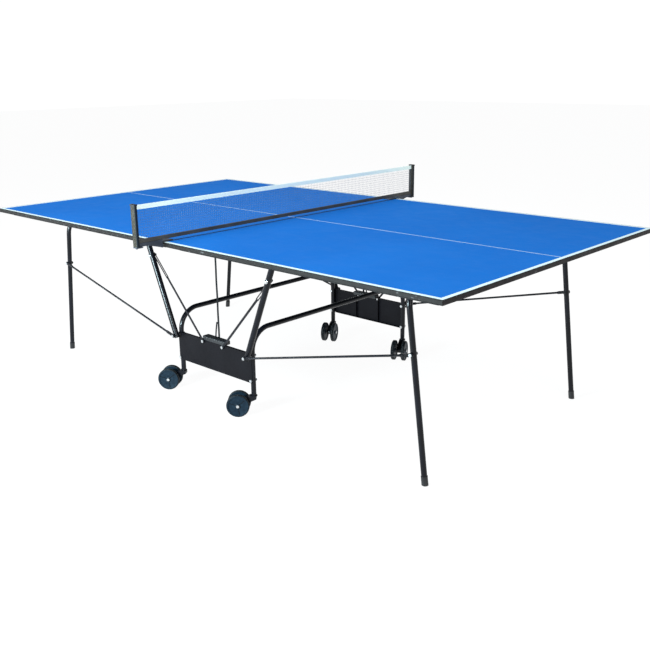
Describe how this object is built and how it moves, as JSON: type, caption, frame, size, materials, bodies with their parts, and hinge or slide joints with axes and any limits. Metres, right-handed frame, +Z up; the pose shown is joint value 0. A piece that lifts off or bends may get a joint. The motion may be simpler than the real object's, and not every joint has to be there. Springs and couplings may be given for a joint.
{
  "type": "table tennis table",
  "caption": "Full-size folding table tennis table: two blue half-tops on swinging arms over a wheeled centre carriage, with folding legs and a lift-out net.",
  "frame": {"origin": "on the floor, under the middle of the net", "axes": "+X along the 2740 mm length, +Y across the width, +Z up"},
  "size_m": [2.74, 1.784, 0.925],
  "materials": {
    "playing_board": "matt blue lacquer on board",
    "edging": "dark grey edge band",
    "black_steel": "black powder coat",
    "panel_steel": "charcoal powder coat",
    "zinc": "bright zinc plate",
    "wheel_tread": "dark slate",
    "black_plastic": "moulded",
    "post_paint": "grey paint",
    "net_cloth": "open mesh",
    "tape_cloth": "white tape"
  },
  "bodies": {
    "carriage": {"left_hoop": "black_steel", "right_hoop": "black_steel", "near_panel": "panel_steel", "far_panel": "panel_steel", "panel_bolts": "zinc", "pivot_bolts": "zinc", "near_latch_housing": "black_plastic", "far_latch_housing": "black_plastic", "near_latch_strap": "net_cloth", "far_latch_strap": "net_cloth"},
    "left_arms": {"near_left_arm": "black_steel", "far_left_arm": "black_steel"},
    "left_half": {"left_board": "playing_board", "left_edge_trim": "edging", "left_rails": "black_steel", "left_arm_brackets": "black_steel", "left_hinge_bolts": "zinc", "left_leg_saddles": "black_steel", "net_brackets": "black_steel"},
    "left_legs": {"left_leg_hoop": "black_steel", "left_foot_caps": "black_plastic"},
    "left_rods": {"left_rods": "black_steel", "left_rod_bolts": "zinc"},
    "left_struts": {"left_struts": "black_steel"},
    "left_slot_bolts": {"left_slot_bolts": "zinc"},
    "right_arms": {"near_right_arm": "black_steel", "far_right_arm": "black_steel"},
    "right_half": {"right_board": "playing_board", "right_edge_trim": "edging", "right_rails": "black_steel", "right_arm_brackets": "black_steel", "right_hinge_bolts": "zinc", "right_leg_saddles": "black_steel"},
    "right_legs": {"right_leg_hoop": "black_steel", "right_foot_caps": "black_plastic"},
    "right_rods": {"right_rods": "black_steel", "right_rod_bolts": "zinc"},
    "right_struts": {"right_struts": "black_steel"},
    "right_slot_bolts": {"right_slot_bolts": "zinc"},
    "near_left_caster": {"near_left_caster_fork": "black_steel", "near_left_caster_axle": "zinc"},
    "near_left_wheel_a": {"near_left_wheel_a": "wheel_tread"},
    "near_left_wheel_b": {"near_left_wheel_b": "wheel_tread"},
    "near_right_caster": {"near_right_caster_fork": "black_steel", "near_right_caster_axle": "zinc"},
    "near_right_wheel_a": {"near_right_wheel_a": "wheel_tread"},
    "near_right_wheel_b": {"near_right_wheel_b": "wheel_tread"},
    "far_left_caster": {"far_left_caster_fork": "black_steel", "far_left_caster_axle": "zinc"},
    "far_left_wheel_a": {"far_left_wheel_a": "wheel_tread"},
    "far_left_wheel_b": {"far_left_wheel_b": "wheel_tread"},
    "far_right_caster": {"far_right_caster_fork": "black_steel", "far_right_caster_axle": "zinc"},
    "far_right_wheel_a": {"far_right_wheel_a": "wheel_tread"},
    "far_right_wheel_b": {"far_right_wheel_b": "wheel_tread"},
    "net_set": {"near_net_post": "post_paint", "far_net_post": "post_paint", "net_rail": "post_paint", "net_mesh": "net_cloth", "net_tape": "tape_cloth"}
  },
  "joints": [
    {"name": "left_fold", "type": "hinge", "parent": "carriage", "child": "left_arms", "pos_m": [-0.24, 0, 0.266], "axis": [0, 1, 0], "range_deg": [0, 44.13], "deforming": ["far_latch_strap"]},
    {"name": "left_half_tilt", "type": "hinge", "parent": "left_arms", "child": "left_half", "pos_m": [-0.428, 0, 0.724], "axis": [0, 1, 0], "range_deg": [0, 45.91]},
    {"name": "left_leg_fold", "type": "hinge", "parent": "left_half", "child": "left_legs", "pos_m": [-1.075, 0, 0.724], "axis": [0, 1, 0], "range_deg": [-67.72, 0]},
    {"name": "left_rod_swing", "type": "hinge", "parent": "carriage", "child": "left_rods", "pos_m": [-0.24, 0, 0.266], "axis": [0, 1, 0], "range_deg": [0, 80.26]},
    {"name": "left_strut_swing", "type": "hinge", "parent": "carriage", "child": "left_struts", "pos_m": [-0.066, 0, 0.27], "axis": [0, 1, 0], "range_deg": [0, 37.17]},
    {"name": "left_slot_slide", "type": "slide", "parent": "left_struts", "child": "left_slot_bolts", "axis": [0.6754, 0, -0.7374], "range_m": [0, 0.12115]},
    {"name": "right_fold", "type": "hinge", "parent": "carriage", "child": "right_arms", "pos_m": [0.24, 0, 0.266], "axis": [0, -1, 0], "range_deg": [0, 44.13], "deforming": ["near_latch_strap"]},
    {"name": "right_half_tilt", "type": "hinge", "parent": "right_arms", "child": "right_half", "pos_m": [0.428, 0, 0.724], "axis": [0, -1, 0], "range_deg": [0, 45.91]},
    {"name": "right_leg_fold", "type": "hinge", "parent": "right_half", "child": "right_legs", "pos_m": [1.075, 0, 0.724], "axis": [0, -1, 0], "range_deg": [-67.72, 0]},
    {"name": "right_rod_swing", "type": "hinge", "parent": "carriage", "child": "right_rods", "pos_m": [0.24, 0, 0.266], "axis": [0, -1, 0], "range_deg": [0, 80.26]},
    {"name": "right_strut_swing", "type": "hinge", "parent": "carriage", "child": "right_struts", "pos_m": [0.066, 0, 0.27], "axis": [0, -1, 0], "range_deg": [0, 37.17]},
    {"name": "right_slot_slide", "type": "slide", "parent": "right_struts", "child": "right_slot_bolts", "axis": [-0.6754, 0, -0.7374], "range_m": [0, 0.12115]},
    {"name": "near_left_swivel", "type": "hinge", "parent": "carriage", "child": "near_left_caster", "pos_m": [-0.24, -0.515, 0.09], "axis": [0, 0, 1], "continuous": true},
    {"name": "near_left_spin_a", "type": "hinge", "parent": "near_left_caster", "child": "near_left_wheel_a", "pos_m": [-0.29555, -0.55247, 0.05], "axis": [-0.5592, 0.829, 0], "continuous": true},
    {"name": "near_left_spin_b", "type": "hinge", "parent": "near_left_caster", "child": "near_left_wheel_b", "pos_m": [-0.29555, -0.55247, 0.05], "axis": [-0.5592, 0.829, 0], "continuous": true},
    {"name": "near_right_swivel", "type": "hinge", "parent": "carriage", "child": "near_right_caster", "pos_m": [0.24, -0.515, 0.09], "axis": [0, 0, 1], "continuous": true},
    {"name": "near_right_spin_a", "type": "hinge", "parent": "near_right_caster", "child": "near_right_wheel_a", "pos_m": [0.18943, -0.55896, 0.05], "axis": [-0.6561, 0.7547, 0], "continuous": true},
    {"name": "near_right_spin_b", "type": "hinge", "parent": "near_right_caster", "child": "near_right_wheel_b", "pos_m": [0.18943, -0.55896, 0.05], "axis": [-0.6561, 0.7547, 0], "continuous": true},
    {"name": "far_left_swivel", "type": "hinge", "parent": "carriage", "child": "far_left_caster", "pos_m": [-0.24, 0.515, 0.09], "axis": [0, 0, 1], "continuous": true},
    {"name": "far_left_spin_a", "type": "hinge", "parent": "far_left_caster", "child": "far_left_wheel_a", "pos_m": [-0.21168, 0.45428, 0.05], "axis": [-0.9063, -0.4226, 0], "continuous": true},
    {"name": "far_left_spin_b", "type": "hinge", "parent": "far_left_caster", "child": "far_left_wheel_b", "pos_m": [-0.21168, 0.45428, 0.05], "axis": [-0.9063, -0.4226, 0], "continuous": true},
    {"name": "far_right_swivel", "type": "hinge", "parent": "carriage", "child": "far_right_caster", "pos_m": [0.24, 0.515, 0.09], "axis": [0, 0, 1], "continuous": true},
    {"name": "far_right_spin_a", "type": "hinge", "parent": "far_right_caster", "child": "far_right_wheel_a", "pos_m": [0.26832, 0.45428, 0.05], "axis": [-0.9063, -0.4226, 0], "continuous": true},
    {"name": "far_right_spin_b", "type": "hinge", "parent": "far_right_caster", "child": "far_right_wheel_b", "pos_m": [0.26832, 0.45428, 0.05], "axis": [-0.9063, -0.4226, 0], "continuous": true},
    {"name": "net_lift", "type": "slide", "parent": "carriage", "child": "net_set", "axis": [0, 0, 1], "range_m": [0, 0.25]}
  ],
  "couplings": [
    {"joint": "left_half_tilt", "follows": "left_fold", "ratio": 1.0392},
    {"joint": "left_leg_fold", "follows": "left_fold", "ratio": -1.5333},
    {"joint": "left_rod_swing", "follows": "left_fold", "ratio": 1.8174},
    {"joint": "left_strut_swing", "follows": "left_fold", "ratio": 0.84101},
    {"joint": "left_slot_slide", "follows": "left_fold", "m_per_rad": 0.15702},
    {"joint": "right_half_tilt", "follows": "right_fold", "ratio": 1.0392},
    {"joint": "right_leg_fold", "follows": "right_fold", "ratio": -1.5333},
    {"joint": "right_rod_swing", "follows": "right_fold", "ratio": 1.8174},
    {"joint": "right_strut_swing", "follows": "right_fold", "ratio": 0.84101},
    {"joint": "right_slot_slide", "follows": "right_fold", "m_per_rad": 0.15702}
  ]
}
